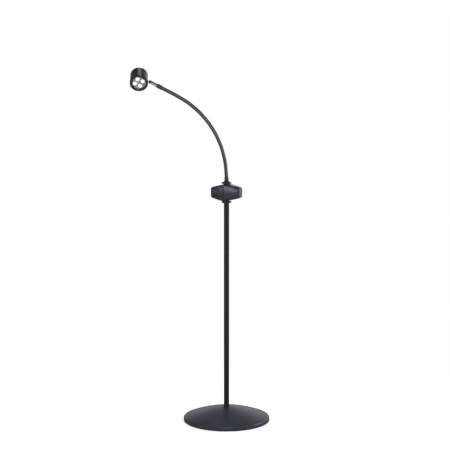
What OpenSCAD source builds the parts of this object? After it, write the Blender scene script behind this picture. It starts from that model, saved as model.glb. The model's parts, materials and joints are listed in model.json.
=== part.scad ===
// Floor-standing examination light: a weighted round base, a pole, a control housing in two
// end shells, a flexible neck and a round head with four emitters on a ball joint.
// Millimetres. The origin is the centre of the underside, +Z is up and -Y is the front.

/* [Base] */
// Diameter of the base cover
base_d = 360; // [320:5:420]
// Height of the upright rim of the base cover
rim_h = 15; // [11:1:20]
// Rise of the dome from the rim to the pole
dome_rise = 43; // [35:1:60]
// How far the dome bulges beyond a plain cone
dome_bulge = 5; // [1:0.5:7]
// Radius of the rounded rim edge
rim_round = 4; // [2:0.5:6]
// Wall of the base cover
cover_wall = 2.5; // [1.5:0.5:3]
// Wall of the cover's inner boss around the pole
boss_wall = 4; // [2:0.5:8]
// Thickness of the anti-slip pad
pad_t = 2; // [1:0.5:5]
// How far the pad stays inside the rim
pad_inset = 3; // [1:0.5:6]
// How far the cast weight stays inside the rim
weight_inset = 35; // [33:1:60]
// Thickness of the cast weight
weight_t = 18; // [16:1:20]
// Diameter of the bolt that holds the pole
bolt_d = 10; // [8:1:12]
// Width across the bolt's head
bolt_head_d = 17; // [15:1:20]
// Height of the bolt's head
bolt_head_h = 6.4; // [5:0.2:8]
// How far the bolt reaches into the plug
bolt_grip = 22; // [15:1:28]
// Rounding of the cast weight's upper edge
weight_round = 2; // [1:0.5:4]
// Thickness of the bolt's washer
washer_t = 2; // [1:0.5:3]
// Diameter of the bolt's washer
washer_d = 21; // [20:1:26]

/* [Pole] */
// Diameter of the pole
pole_d = 22; // [20:1:26]
// Wall of the pole
pole_wall = 1.5; // [1:0.5:2.5]
// Length of the plug in the foot of the pole
plug_l = 30; // [30:1:50]
// Height of the ring where the pole enters the base
foot_ring_h = 7; // [4:1:12]
// Wall of that ring
foot_ring_wall = 1.4; // [1:0.1:3]

/* [Housing] */
// Height of the housing's centre above the floor
housing_z = 960; // [800:10:1100]
// Half the width of the housing, from the seam to one end
housing_half = 63; // [60:1:75]
// Height of the housing at the seam
seam_h = 70; // [66:1:76]
// Depth of the housing at the seam
seam_depth = 90; // [84:1:100]
// Height of the housing at its ends
end_h = 47; // [44:1:54]
// Depth of the housing at its ends
end_depth = 50; // [46:1:62]
// Corner radius of the housing at the seam
seam_corner = 8; // [6:1:16]
// Radius that rounds the housing's ends
end_round = 10; // [8:1:14]
// Wall of the shells
shell_wall = 2.5; // [2:0.5:3]
// Width of the chamfer along the seam
seam_chamfer = 0.8; // [0.4:0.1:1.5]
// Width of the straight land beside the chamfer
seam_land = 0.4; // [0.2:0.1:1]
// Diameter of the flanges above and below the housing
flange_d = 40; // [34:1:50]
// Thickness of the flanges
flange_h = 8; // [5:0.5:12]
// Gap between a flange and the housing
flange_gap = 0.5; // [0.5:0.5:6]
// Wall of the collar's neck around the pole
collar_wall = 2; // [1.5:0.5:3]
// How far the lower collar's neck reaches into the housing
collar_reach = 6; // [4:1:8]
// How far the pole's top end lies below the housing's centre
pole_top_drop = 20; // [15:1:21]
// How far the hub rises above the housing's centre
hub_rise = 20; // [15:1:22]
// Diameter of the hub in the housing
hub_d = 28; // [26:1:30]
// Length of the hub's spigot in the pole
hub_spigot_l = 25; // [15:1:40]
// Diameter of the thread that holds the upper collar
thread_d = 12; // [10:1:14]
// Length of that thread
thread_l = 18; // [10:1:25]
// Diameter of the wire way through the hub and the upper collar
wire_way_d = 7; // [5:0.5:8]
// Diameter of the shell screws
shell_screw_d = 3; // [2.5:0.5:3.5]
// Diameter of the shell screws' heads
shell_screw_head_d = 5.5; // [5:0.1:5.8]
// Height of the shell screws' heads
shell_screw_head_h = 3; // [2:0.5:4]
// Outer diameter of the screw bosses
screw_boss_d = 8; // [7.6:0.2:8.4]
// Depth of the screws' holes in the right shell
screw_boss_l = 16; // [12:1:18]
// Distance of the screws from the pole's axis, front to back
screw_y = 18.5; // [18.5:0.5:19.5]
// Distance of the screws from the housing's centre, up and down
screw_z = 20; // [20:0.5:21]
// Depth at which the screw heads sit below the left end
screw_sink = 18; // [16:1:20]
// Diameter of the grub screw in the lower collar
grub_d = 4; // [3:0.5:5]

/* [Switch] */
// Distance of the switch from the seam, along the left front face
switch_along = 39; // [36:1:41]
// Width of the rocker
rocker_w = 15; // [12:0.5:16]
// Height of the rocker
rocker_h = 23; // [18:1:24]
// How far the rocker tilts to each side of level
rocker_throw = 11; // [7:1:13]
// Depth of the rocker's pivot behind the face
rocker_pivot_depth = 4; // [3:0.5:5]
// How far the rocker's ends stand out of the face when level
rocker_proud = 4; // [3:0.5:5]
// Diameter of the rocker's pivot stubs
rocker_stub_d = 3; // [2:0.5:4]
// Wall of the switch frame
frame_wall = 2.3; // [1.8:0.1:3]
// Width of the switch panel's rim above and below its body
frame_lip = 2; // [1:0.5:3]
// Width of the switch panel's rim to the sides of its body
frame_side_lip = 6; // [2:0.5:6]
// Thickness of the switch panel's rim
frame_lip_t = 2; // [1:0.5:3]
// Depth of the switch frame behind the face
frame_depth = 17; // [14:1:18]

/* [Power board and inlet] */
// Length of the power board
board_l = 32; // [24:1:33]
// Width of the power board
board_w = 40; // [32:1:44]
// Thickness of the circuit boards
board_t = 1.6; // [1:0.2:2.4]
// Distance of the board from the housing's end
board_end_gap = 7; // [6:0.5:8]
// Width of the transformer
transformer_w = 22; // [14:1:26]
// Length of the transformer
transformer_l = 18; // [12:1:20]
// Height of the transformer
transformer_h = 15; // [8:1:17]
// Diameter of the capacitors
capacitor_d = 8; // [5:0.5:9]
// Height of the capacitors
capacitor_h = 12; // [8:1:14]
// Distance of the power inlet from the seam
inlet_x = 33; // [32:1:35]
// Spacing of the inlet's pins
inlet_pitch = 8.6; // [8:0.1:10]
// Diameter of the inlet's pins
inlet_pin_d = 2.4; // [2:0.1:3]
// Width of the inlet's slot
inlet_slot_w = 9; // [8:0.2:11]
// Depth of the inlet's slot
inlet_slot_depth = 12; // [9:1:14]
// Wall of the inlet
inlet_wall = 2.5; // [1.5:0.5:3]
// Thickness of the inlet's flange
inlet_lip = 1.5; // [1:0.5:2]
// Wall of the shell's boss around the inlet
inlet_boss_wall = 2; // [1.5:0.5:3]

/* [Neck] */
// Diameter of the flexible neck
neck_d = 15; // [13:0.5:16]
// Bore of the flexible neck
neck_bore = 10; // [7:0.5:11]
// Number of links that the neck bends in
link_n = 16; // [16]
// Length of a link
link_l = 30; // [26:1:34]
// How far the links' ball ends are larger than the neck
link_lip = 1.5; // [1:0.25:2.5]
// Turn of the neck from upright to its end, in degrees
neck_turn = 63; // [30:1:90]
// Length of the neck's curved stretch, from its foot
neck_curve_l = 412; // [380:4:440]
// Angle of the neck's plane to the housing, in degrees
arm_yaw = 17; // [0:1:45]
// Wall of the ferrules on the neck's ends
ferrule_wall = 1.25; // [1:0.25:2.5]
// Length of the lower ferrule
ferrule_l = 20.5; // [15:0.5:30]
// Length of the end ferrule
end_ferrule_l = 22.5; // [20:0.5:32]
// How far the neck sits in the end ferrule
end_ferrule_grip = 10; // [8:1:12]

/* [Stem and ball joint] */
// Diameter of the bright stem
stem_d = 13.5; // [12:0.5:14.5]
// Wall of the stem
stem_wall = 2; // [1.5:0.5:3]
// Length of the stem that shows
stem_l = 27; // [20:1:50]
// Diameter of the stem's spigot in the end ferrule
spigot_d = 9; // [7:0.5:9.5]
// Diameter of the ball
ball_d = 9.2; // [8.4:0.2:9.6]
// Diameter of the ball's neck
ball_neck_d = 4; // [3:0.5:4]
// Wall of the nylon seat around the ball
seat_wall = 0.95; // [0.7:0.05:1]
// Length of the ball's socket
socket_l = 10; // [9.5:0.5:14]
// Thickness of the socket's lip in front of the ball
lip_t = 1; // [0.8:0.1:1.5]
// Thickness of the ring that keeps the stem in the end ferrule
clip_t = 1.2; // [0.8:0.1:1.6]
// Distance from the ball's centre to the head's side
ball_gap = 10; // [8:0.5:16]
// Diameter of the stud's shoulder on the head's side
shoulder_d = 10; // [8:0.5:12]
// Thickness of that shoulder
shoulder_t = 2.5; // [2:0.5:3]
// How deep the shoulder sits in the barrel
shoulder_seat = 0.4; // [0.2:0.1:0.6]
// Diameter of the stud's thread
stud_thread_d = 6; // [5:0.5:6]
// Width across the stud's nut
nut_w = 10; // [9:0.5:11]
// Thickness of the stud's nut
nut_t = 5; // [4:0.5:6]
// Diameter of the pad that the nut pulls on
stud_pad_d = 16; // [14:1:18]
// How far that pad stands in from the barrel's wall
stud_pad_t = 3; // [2:0.5:4]
// Turn of the head about the stem, in degrees
head_roll = 61.5; // [0:0.5:90]
// Tilt of the head at the ball, in degrees
head_tilt = 16.5; // [-20:0.5:20]

/* [Head] */
// Diameter of the head's barrel
barrel_d = 72; // [70:1:84]
// Wall of the barrel
barrel_wall = 3; // [2:0.5:3]
// Length of the head, front to back
head_l = 70; // [66:1:90]
// Distance of the ball joint from the head's front
stud_z = 44; // [40:0.5:45]
// Diameter of the bezel
bezel_d = 74.5; // [73:0.5:90]
// Length of the bezel in front of the barrel
bezel_l = 8; // [8:0.5:12]
// Length of the bezel's spigot in the barrel
bezel_spigot_l = 6; // [4:0.5:8]
// Rounding of the bezel's front edge
bezel_round = 2.5; // [1:0.5:3]
// Clear diameter of the front glass
glass_clear_d = 56; // [55:1:58]
// Ledge that the glass sits on
glass_ledge = 2.5; // [1.5:0.5:2.5]
// Thickness of the front lip of the bezel
bezel_lip = 3; // [2:0.5:3]
// Thickness of the front glass
glass_t = 2.5; // [2:0.5:3]
// Thickness of the seal behind the glass
seal_t = 2; // [1:0.5:3]
// Width of the seal
seal_w = 1.8; // [1:0.2:2.4]
// Thickness of the plate that holds the lenses
lens_plate_t = 2.5; // [2:0.5:4]
// Number of emitters
emitter_n = 4; // [3:1:4]
// Distance of the emitters from the head's axis
emitter_r = 16.5; // [16:0.5:17]
// Turn of the emitter pattern, in degrees
emitter_turn = 50; // [0:5:90]
// Diameter of a lens at its front
lens_d = 20; // [16:0.5:20.5]
// Diameter of a lens at its foot
lens_foot_d = 9; // [7:0.5:11]
// Length of a lens
lens_l = 13; // [11:0.5:14]
// How far a lens sits behind the front of its plate
lens_recess = 1; // [0.5:0.5:1.5]
// Width of an emitter
emitter_w = 3.5; // [2.5:0.5:4.5]
// Height of an emitter
emitter_h = 1.2; // [0.8:0.2:2]
// Thickness of the heat sink's plate
sink_plate_t = 7; // [6:0.5:8]
// Number of cooling fins
fin_n = 9; // [5:2:11]
// Thickness of a cooling fin
fin_t = 1.6; // [1:0.2:2]
// Diameter of the posts that carry the heat sink
post_d = 8; // [7:0.5:10]
// Distance of the posts from the head's axis
post_r = 24; // [22:0.5:25]
// Thickness of the rear cap outside the barrel
cap_t = 6; // [5:0.5:10]
// Length of the rear cap's spigot in the barrel
cap_spigot_l = 5; // [3:0.5:8]
// Rounding of the rear cap's edge
cap_round = 4; // [1:0.5:5]
// Diameter of the rear cap's screws
cap_screw_d = 3; // [2:0.5:4]

/* [Fits] */
// Radial clearance of pieces that only slide together
fit = 0.1; // [0.05:0.05:0.2]
// Radial clearance of pieces that turn
running = 0.05; // [0.02:0.01:0.1]
// Radial clearance of the holes for bolts
hole_clear = 0.5; // [0.3:0.1:0.8]
// Gap between the ball ends of the links
link_gap = 0.25; // [0.15:0.05:0.4]
// Gap between the turning stem and the end ferrule
swivel_gap = 0.15; // [0.1:0.05:0.3]

/* [Hidden] */
$fn = 72;
HULL_FN = 32;
STEPS = 12; // points along a rounded edge
eps = 0.02;

// Heights along the pole
weight_top = pad_t + weight_t;
rim_top = pad_t + rim_h;
apex_z = rim_top + dome_rise;
housing_bottom = housing_z - seam_h/2;
housing_top = housing_z + seam_h/2;
pole_top = housing_z - pole_top_drop;
hub_top = housing_z + hub_rise;
low_flange_z = housing_bottom - flange_gap - flange_h;
up_flange_z = housing_top + flange_gap;
ferrule_z = up_flange_z + flange_h;
pivot_z = ferrule_z + ferrule_l;

// Base
weight_r = base_d/2 - weight_inset;
pole_r = pole_d/2;
bore_r = pole_r - pole_wall;
counterbore_h = washer_t + bolt_head_h + 1;
cover_hole_r = pole_r + fit;
boss_r = cover_hole_r + boss_wall;

// Housing
collar_neck_r = pole_r + running + collar_wall;
shell_hole_r = collar_neck_r + fit;
ball_x = housing_half - end_round;
ball_y = end_depth/2 - end_round;
ball_z = end_h/2 - end_round;
// The front faces run from beside the seam to the rounded ends, at the taper's angle to the width
face_x = seam_chamfer + seam_land;
face_run = [ball_x - face_x, seam_depth/2 - ball_y];
taper = atan(face_run.y/face_run.x) - asin(end_round/norm(face_run));
screw_head_x = -housing_half + screw_sink;
screw_end_x = screw_boss_l - 2;

// Switch, in the frame of the left front face
rocker_arm = rocker_pivot_depth + rocker_proud;
rocker_swing = norm([rocker_h/2, rocker_arm])*cos(atan(rocker_arm/(rocker_h/2)) - rocker_throw);
window_w = rocker_w + 4*fit;
window_h = 2*rocker_swing + 6*fit;
frame_w = window_w + 2*frame_wall;
frame_h = window_h + 2*frame_wall;
stub_l = rocker_w + 2*frame_wall*0.6;

// Power board and inlet
board_x = housing_half - board_end_gap - board_l;
board_z = housing_z - 2;
inlet_half_x = inlet_pitch/2 + inlet_slot_w/2 + inlet_wall;
inlet_half_y = inlet_slot_w/2 + inlet_wall;
// The inlet's flange is let into the sloping underside, and flush with it at the outer end
under_run = [ball_x - face_x, seam_h/2 - ball_z];
under_slope = atan(under_run.y/under_run.x) - asin(end_round/norm(under_run));
inlet_out = inlet_x + inlet_half_x + inlet_boss_wall;
inlet_face_z = housing_bottom + (inlet_out - face_x)*tan(under_slope);
inlet_z = inlet_face_z + inlet_lip;
inlet_body_h = inlet_slot_depth + inlet_wall;

// Neck: link k turns from the pivot below it, and its heading is measured from upright
neck_r = neck_d/2;
link_ball_r = neck_r + link_lip;
ferrule_r = neck_r + fit + ferrule_wall;
function heading(k) = min(neck_turn, neck_turn*(k + 0.5)*link_l/neck_curve_l);
function along(angle) = [-sin(angle), 0, cos(angle)];
function pivot(k) = k == 0 ? [0, 0, pivot_z] : pivot(k - 1) + link_l*along(heading(k - 1));
end_heading = heading(link_n - 1);
neck_end = pivot(link_n);

// Stem and ball joint, measured along the stem from the ball's centre
ball_r = ball_d/2;
seat_r = ball_r + running + seat_wall;
lip_hole_r = ball_r - 0.3;
lip_z = sqrt(pow(ball_r, 2) - pow(lip_hole_r - 0.1, 2));
mouth_z = lip_z + lip_t;
socket_z = mouth_z - socket_l;
ball_from_neck = end_ferrule_l + stem_l - socket_z;
ball_point = neck_end + ball_from_neck*along(end_heading);
stem_start = -ball_from_neck + end_ferrule_l;
clip_r = spigot_d/2 + 1.6;
ferrule_web = end_ferrule_l - end_ferrule_grip - 4;

// Head, measured from the front face backwards along its axis
barrel_r = barrel_d/2;
barrel_in_r = barrel_r - barrel_wall;
glass_r = glass_clear_d/2 + glass_ledge;
glass_z = bezel_lip;
seal_z = glass_z + glass_t;
lens_plate_z = seal_z + seal_t;
lens_z = lens_plate_z + lens_recess;
emitter_board_z = lens_z + lens_l;
sink_z = emitter_board_z + board_t;
sink_r = barrel_in_r - 3*fit;
cap_z = head_l - cap_t;
cap_inner_z = cap_z - cap_spigot_l;
stud_reach = barrel_r + ball_gap;
stud_pad_in = barrel_in_r - stud_pad_t;

function arc(c, r, from, to, n = STEPS) =
  [for (i = [0:n]) let (a = from + (to - from)*i/n) c + r*[cos(a), sin(a)]];
// Points of an arc from p to q that bulges h to the right of the way from p to q
function bulge(p, q, h, n = 20) =
  let (chord = norm(q - p), r = chord*chord/(8*h) + h/2, dir = (q - p)/chord,
       side = [dir.y, -dir.x], c = (p + q)/2 + (h - r)*side, half = asin(chord/2/r))
  [for (i = [0:n]) let (a = -half + 2*half*i/n) c + r*(sin(a)*dir + cos(a)*side)];
// Profile of a ring with rounded outer edges
function ring_profile(r_in, r_out, h, low_round, high_round) = concat(
  [[r_in, 0]],
  low_round > 0 ? arc([r_out - low_round, low_round], low_round, -90, 0) : [[r_out, 0]],
  high_round > 0 ? arc([r_out - high_round, h - high_round], high_round, 0, 90) : [[r_out, h]],
  [[r_in, h]]);

function link_name(k) = str("neck_link_", k < 9 ? "0" : "", k + 1);

// Shapes that repeat

module turned(profile) {
  rotate_extrude() polygon(profile);
}

module tube(r_out, r_in, h) {
  difference() {
    cylinder(r = r_out, h = h);
    translate([0, 0, -1]) cylinder(r = r_in, h = h + 2);
  }
}

module block(w, d, h) {
  translate([-w/2, -d/2, 0]) cube([w, d, h]);
}

module hexagon(across, h) {
  cylinder(d = across/cos(30), h = h, $fn = 6);
}

// A slot with round ends, along X
module slot(pitch, w, h) {
  for (side = [-1, 1]) translate([side*pitch/2, 0, 0]) cylinder(d = w, h = h);
  block(pitch, w, h);
}

// Places

module arm() {
  rotate([0, 0, arm_yaw]) children();
}

module at_link(k) {
  arm() translate(pivot(k)) rotate([0, -heading(k), 0]) children();
}

module at_ball() {
  arm() translate(ball_point) rotate([0, -end_heading, 0]) children();
}

// Z runs from the ball to the head, and X the way that the light shines
module at_stud() {
  at_ball() rotate([0, 0, 180 + head_roll]) rotate([0, head_tilt, 0]) children();
}

// Z runs from the head's front face backwards
module at_head() {
  at_stud() translate([stud_z, 0, stud_reach]) rotate([0, -90, 0]) children();
}

module at_emitters() {
  for (i = [0:emitter_n - 1])
    rotate([0, 0, emitter_turn + i*360/emitter_n]) translate([emitter_r, 0, 0]) children();
}

// Y runs into the housing from the left front face
module at_switch() {
  along_face = switch_along*[-cos(taper), sin(taper)];
  translate([along_face.x - face_x, -seam_depth/2 + along_face.y, housing_z])
    rotate([0, 0, -taper]) children();
}

module at_shell_screws() {
  for (y = [-1, 1], z = [-1, 1])
    translate([0, y*screw_y, housing_z + z*screw_z]) rotate([0, 90, 0]) children();
}

// Base

module base_pad() {
  color("#26282a") cylinder(r = base_d/2 - pad_inset, h = pad_t);
}

module base_weight() {
  color("#4b4d50")
  difference() {
    translate([0, 0, pad_t]) turned(ring_profile(0, weight_r, weight_t, weight_round/2, weight_round));
    cylinder(r = bolt_d/2 + hole_clear, h = weight_top + 1);
    cylinder(r = washer_d/2 + 2*hole_clear, h = pad_t + counterbore_h);
  }
}

module base_cover() {
  r = base_d/2;
  top_r = cover_hole_r;
  slope = atan(dome_rise/(r - top_r));
  outer = concat(
    [[r, pad_t]],
    arc([r - rim_round, rim_top - rim_round], rim_round, 0, 90 - slope - 5, 6),
    bulge([r - rim_round*(1 - sin(slope + 5)), rim_top - rim_round*(1 - cos(slope + 5))],
          [top_r, apex_z], dome_bulge));
  inner = bulge([r - cover_wall, rim_top - cover_wall - rim_round/2],
                [top_r, apex_z - cover_wall], dome_bulge);
  color("#3a3d43") {
    turned(concat(outer, [for (i = [len(inner) - 1:-1:0]) inner[i]], [[r - cover_wall, pad_t]]));
    translate([0, 0, weight_top]) tube(boss_r, cover_hole_r, apex_z - cover_wall/2 - weight_top);
  }
}

module base_bolt() {
  head_z = pad_t + 1;
  color("silver") translate([0, 0, head_z]) {
    hexagon(bolt_head_d, bolt_head_h);
    cylinder(d = bolt_d, h = bolt_head_h + washer_t + weight_t - counterbore_h + bolt_grip);
  }
}

module base_washer() {
  color("silver") translate([0, 0, pad_t + counterbore_h - washer_t])
    tube(washer_d/2, bolt_d/2 + hole_clear, washer_t);
}

module pole_plug() {
  color("#8d9094") translate([0, 0, weight_top]) tube(bore_r - running, bolt_d/2 + running, plug_l);
}

module foot_ring() {
  r = cover_hole_r + foot_ring_wall;
  color("#1d1e20") translate([0, 0, apex_z])
    turned(ring_profile(cover_hole_r, r, foot_ring_h, 0, foot_ring_wall*0.6));
}

// Pole

module pole() {
  color("#2b2c30") translate([0, 0, weight_top]) tube(pole_r, bore_r, pole_top - weight_top);
}

// Housing

module flange(r_in) {
  turned(ring_profile(r_in, flange_d/2, flange_h, 1.5, 1.5));
}

module lower_collar() {
  neck_h = flange_h + flange_gap + shell_wall + collar_reach;
  color("#1f2125")
  difference() {
    translate([0, 0, low_flange_z]) {
      flange(pole_r + running);
      tube(collar_neck_r, pole_r + running, neck_h);
    }
    at_grub() cylinder(d = grub_d, h = flange_d);
  }
}

module at_grub() {
  translate([0, 0, low_flange_z + flange_h/2]) rotate([-90, 0, 0]) children();
}

module collar_grub_screw() {
  color("#55585c") at_grub() translate([0, 0, pole_r + running])
    cylinder(d = grub_d - 2*running, h = flange_d/2 - pole_r - 2);
}

module hub() {
  color("#a6a9ad")
  difference() {
    union() {
      translate([0, 0, pole_top]) cylinder(d = hub_d, h = hub_top - pole_top);
      translate([0, 0, pole_top - hub_spigot_l]) cylinder(r = bore_r - running, h = hub_spigot_l + 1);
    }
    translate([0, 0, hub_top - thread_l - 2]) cylinder(r = thread_d/2 + running, h = thread_l + 3);
    translate([0, 0, hub_top - thread_l - 2 - wire_way_d/2]) rotate([0, 90, 0])
      cylinder(d = wire_way_d, h = hub_d);
    translate([0, 0, hub_top - thread_l - 2 - wire_way_d/2]) cylinder(d = wire_way_d, h = thread_l);
  }
}

// Rounded section of the housing across its width, at x
module section(x, inset) {
  corner = seam_corner - inset;
  translate([x, 0, 0]) rotate([90, 0, 90]) linear_extrude(seam_land)
    for (y = [-1, 1], z = [-1, 1])
      translate([y*(seam_depth/2 - seam_corner), z*(seam_h/2 - seam_corner)])
        circle(corner, $fn = HULL_FN);
}

// One half of the housing, tapering from the seam to a rounded end on the +X side
module half_form(inset, chamfer, start) {
  hull() {
    section(start, inset + chamfer);
    section(start + chamfer, inset);
    for (y = [-1, 1], z = [-1, 1])
      translate([ball_x, y*ball_y, z*ball_z]) sphere(end_round - inset, $fn = HULL_FN);
  }
}

module half_shell() {
  difference() {
    half_form(0, seam_chamfer, 0);
    half_form(shell_wall, 0, -seam_land);
    translate([-1, -seam_depth, -seam_h]) cube([1, 2*seam_depth, 2*seam_h]);
  }
}

module shell_hole() {
  translate([0, 0, -seam_h]) cylinder(r = shell_hole_r, h = 2*seam_h);
}

module shell_left() {
  color("#2f3238")
  difference() {
    translate([0, 0, housing_z]) mirror([1, 0, 0]) {
      difference() {
        union() {
          half_shell();
          intersection() {
            half_form(0, seam_chamfer, 0);
            translate([0, 0, -housing_z]) at_shell_screws()
              cylinder(d = screw_boss_d, h = housing_half);
          }
        }
        shell_hole();
      }
    }
    at_shell_screws() translate([0, 0, -housing_half]) {
      cylinder(r = shell_screw_d/2 + 2*fit, h = 2*housing_half);
      translate([0, 0, -1]) cylinder(r = shell_screw_head_d/2 + 2*fit, h = screw_sink + 1);
    }
    at_switch() translate([0, -seam_depth/4, 0]) rotate([-90, 0, 0])
      block(frame_w + 2*fit, frame_h + 2*fit, seam_depth/4 + 3*shell_wall);
  }
}

module shell_right() {
  color("#34383f")
  difference() {
    union() {
      translate([0, 0, housing_z]) difference() {
        half_shell();
        shell_hole();
      }
      intersection() {
        translate([0, 0, housing_z]) half_form(0, seam_chamfer, 0);
        union() {
          inlet_boss();
          at_shell_screws() cylinder(d = screw_boss_d, h = housing_half);
          board_posts();
        }
      }
    }
    at_shell_screws() translate([0, 0, -1]) cylinder(r = shell_screw_d/2 + running, h = screw_boss_l);
    inlet_pocket();
  }
}

// A boss inside the right shell, over its sloping underside, that holds the inlet
module inlet_boss() {
  rim = fit + 2*inlet_boss_wall;
  translate([inlet_x, 0, housing_bottom])
    block(2*(inlet_half_x + rim), 2*(inlet_half_y + rim), inlet_z - housing_bottom + inlet_slot_depth);
}

// Room for the inlet's body, and below it for its flange
module inlet_pocket() {
  rim = fit + inlet_boss_wall;
  translate([inlet_x, 0, housing_bottom - 1])
    block(2*(inlet_half_x + rim), 2*(inlet_half_y + rim), inlet_z - housing_bottom + 1);
  translate([inlet_x, 0, housing_bottom])
    block(2*(inlet_half_x + fit), 2*(inlet_half_y + fit), seam_h/2);
}

module board_posts() {
  post_d = 6;
  x = board_x + board_l - post_d/2;
  for (y = [-1, 1]) translate([x, y*(board_w/2 - post_d), housing_bottom])
    cylinder(d = post_d, h = board_z - housing_bottom);
}

module shell_screws() {
  color("#6b6e72") at_shell_screws() translate([0, 0, screw_head_x]) {
    translate([0, 0, -shell_screw_head_h]) cylinder(d = shell_screw_head_d, h = shell_screw_head_h);
    cylinder(d = shell_screw_d, h = screw_end_x - screw_head_x);
  }
}

module power_board() {
  color("#23633c") translate([board_x, -board_w/2, board_z]) cube([board_l, board_w, board_t]);
}

module transformer() {
  color("#c8a23a") translate([board_x + transformer_l/2 + 2, 0, board_z + board_t])
    block(transformer_l, transformer_w, transformer_h);
}

module capacitors() {
  x = board_x + transformer_l + 4 + capacitor_d/2;
  color("#30343c") for (y = [-1, 1]) translate([x, y*capacitor_d*0.8, board_z + board_t])
    cylinder(d = capacitor_d, h = capacitor_h);
}

// Switch

module switch_frame() {
  color("#17181a") at_switch() difference() {
    union() {
      rotate([-90, 0, 0]) block(frame_w, frame_h, frame_depth);
      translate([0, -frame_lip_t, 0]) rotate([-90, 0, 0])
        block(frame_w + 2*frame_side_lip, frame_h + 2*frame_lip, frame_lip_t);
    }
    translate([0, -frame_lip_t - 1, 0]) rotate([-90, 0, 0])
      block(window_w, window_h, frame_depth + frame_lip_t + 1 - frame_wall);
    translate([-stub_l/2 - fit, rocker_pivot_depth, 0]) rotate([0, 90, 0])
      cylinder(r = rocker_stub_d/2 + running, h = stub_l + 2*fit);
  }
}

module rocker() {
  half = rocker_h/2;
  dip = 2;
  color("#0f1011") at_switch() translate([0, rocker_pivot_depth, 0]) rotate([-rocker_throw, 0, 0]) {
    translate([-rocker_w/2, 0, 0]) rotate([90, 0, 90]) linear_extrude(rocker_w)
      polygon([[-rocker_arm, -half], [dip - rocker_arm, 0], [-rocker_arm, half],
               [-rocker_arm + 6, half], [rocker_stub_d, 5], [rocker_stub_d, -5],
               [-rocker_arm + 6, -half]]);
    translate([-stub_l/2, 0, 0]) rotate([0, 90, 0]) cylinder(d = rocker_stub_d, h = stub_l);
  }
}

// Inlet

module power_inlet() {
  color("#141516") translate([inlet_x, 0, inlet_z - inlet_lip]) difference() {
    union() {
      block(2*inlet_half_x, 2*inlet_half_y, inlet_body_h);
      block(2*(inlet_half_x + inlet_boss_wall), 2*(inlet_half_y + inlet_boss_wall), inlet_lip);
    }
    translate([0, 0, -1]) slot(inlet_pitch, inlet_slot_w, inlet_slot_depth + 1);
    at_inlet_pins() cylinder(r = inlet_pin_d/2 + running, h = inlet_body_h + 1);
  }
}

module at_inlet_pins() {
  for (side = [-1, 1]) translate([side*inlet_pitch/2, 0, 0]) children();
}

module inlet_pins() {
  pin_z = inlet_z - inlet_lip + 3;
  color("#b9bcc0") translate([inlet_x, 0, 0]) at_inlet_pins() translate([0, 0, pin_z])
    cylinder(d = inlet_pin_d, h = inlet_body_h);
}

// Neck

module upper_collar() {
  skirt_h = 5;
  skirt_r = ferrule_r + 4;
  color("#1f2125") difference() {
    union() {
      translate([0, 0, up_flange_z]) flange(0);
      translate([0, 0, hub_top]) cylinder(r = collar_neck_r, h = up_flange_z - hub_top + 1);
      translate([0, 0, hub_top - thread_l]) cylinder(d = thread_d, h = thread_l + 1);
      translate([0, 0, ferrule_z - eps]) cylinder(r1 = skirt_r, r2 = ferrule_r + 0.8, h = skirt_h);
    }
    translate([0, 0, hub_top - thread_l - 1]) cylinder(d = wire_way_d, h = pivot_z);
    translate([0, 0, ferrule_z - 3]) cylinder(r = ferrule_r + running, h = skirt_h + 4);
  }
}

module neck_ferrule() {
  color("#24262a") translate([0, 0, ferrule_z - 3])
    turned(concat([[neck_r + fit, 2]], [[wire_way_d/2 + 1, 2], [wire_way_d/2 + 1, 0], [ferrule_r, 0]],
      arc([ferrule_r - 1, ferrule_l + 2], 1, 0, 90, 6), [[neck_r + fit, ferrule_l + 3]]));
}

// The convex end that a link's ball socket turns on, above z
module link_end(z) {
  intersection() {
    cylinder(r = neck_r, h = z + link_ball_r + 1);
    union() {
      translate([0, 0, -1]) cylinder(r = (neck_r + link_ball_r)/2, h = z + 1);
      translate([0, 0, z]) sphere(link_ball_r);
    }
  }
}

module neck_foot() {
  foot_z = ferrule_z - 1;
  color("#2a2c30") translate([0, 0, foot_z]) difference() {
    link_end(pivot_z - foot_z);
    translate([0, 0, -1]) cylinder(d = neck_bore, h = pivot_z);
  }
}

module neck_link(k) {
  last = k == link_n - 1;
  color("#2a2c30") at_link(k) difference() {
    if (last) cylinder(r = neck_r, h = link_l + end_ferrule_grip);
    else link_end(link_l);
    sphere(link_ball_r + link_gap);
    translate([0, 0, -1]) cylinder(d = neck_bore, h = 2*link_l);
  }
}

// Stem and ball joint, drawn along the stem from the ball's centre

module end_ferrule() {
  from_z = stem_start - end_ferrule_l;
  web_z = stem_start - ferrule_web;
  color("#24262a") at_ball() difference() {
    translate([0, 0, from_z]) turned(ring_profile(0, ferrule_r, end_ferrule_l, 1, 0.6));
    translate([0, 0, from_z - 1]) cylinder(r = neck_r + fit, h = end_ferrule_grip + 1);
    translate([0, 0, from_z]) cylinder(r = clip_r + 0.5, h = web_z - from_z);
    translate([0, 0, web_z - 1]) cylinder(r = spigot_d/2 + running, h = end_ferrule_l);
  }
}

module stem() {
  web_z = stem_start - ferrule_web;
  groove_z = web_z - swivel_gap - clip_t;
  color("#d4d6d9") at_ball() difference() {
    union() {
      translate([0, 0, stem_start + swivel_gap])
        cylinder(d = stem_d, h = socket_z - stem_start - swivel_gap);
      translate([0, 0, groove_z - 1]) cylinder(d = spigot_d, h = stem_start + 1.5 - groove_z);
    }
    translate([0, 0, groove_z - running]) tube(spigot_d, spigot_d/2 - 1, clip_t + 2*running);
    translate([0, 0, groove_z - 2]) cylinder(d = spigot_d - 2*stem_wall - 1, h = stem_l + end_ferrule_l);
    translate([0, 0, stem_start + 3]) cylinder(d = stem_d - 2*stem_wall, h = stem_l);
  }
}

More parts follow.
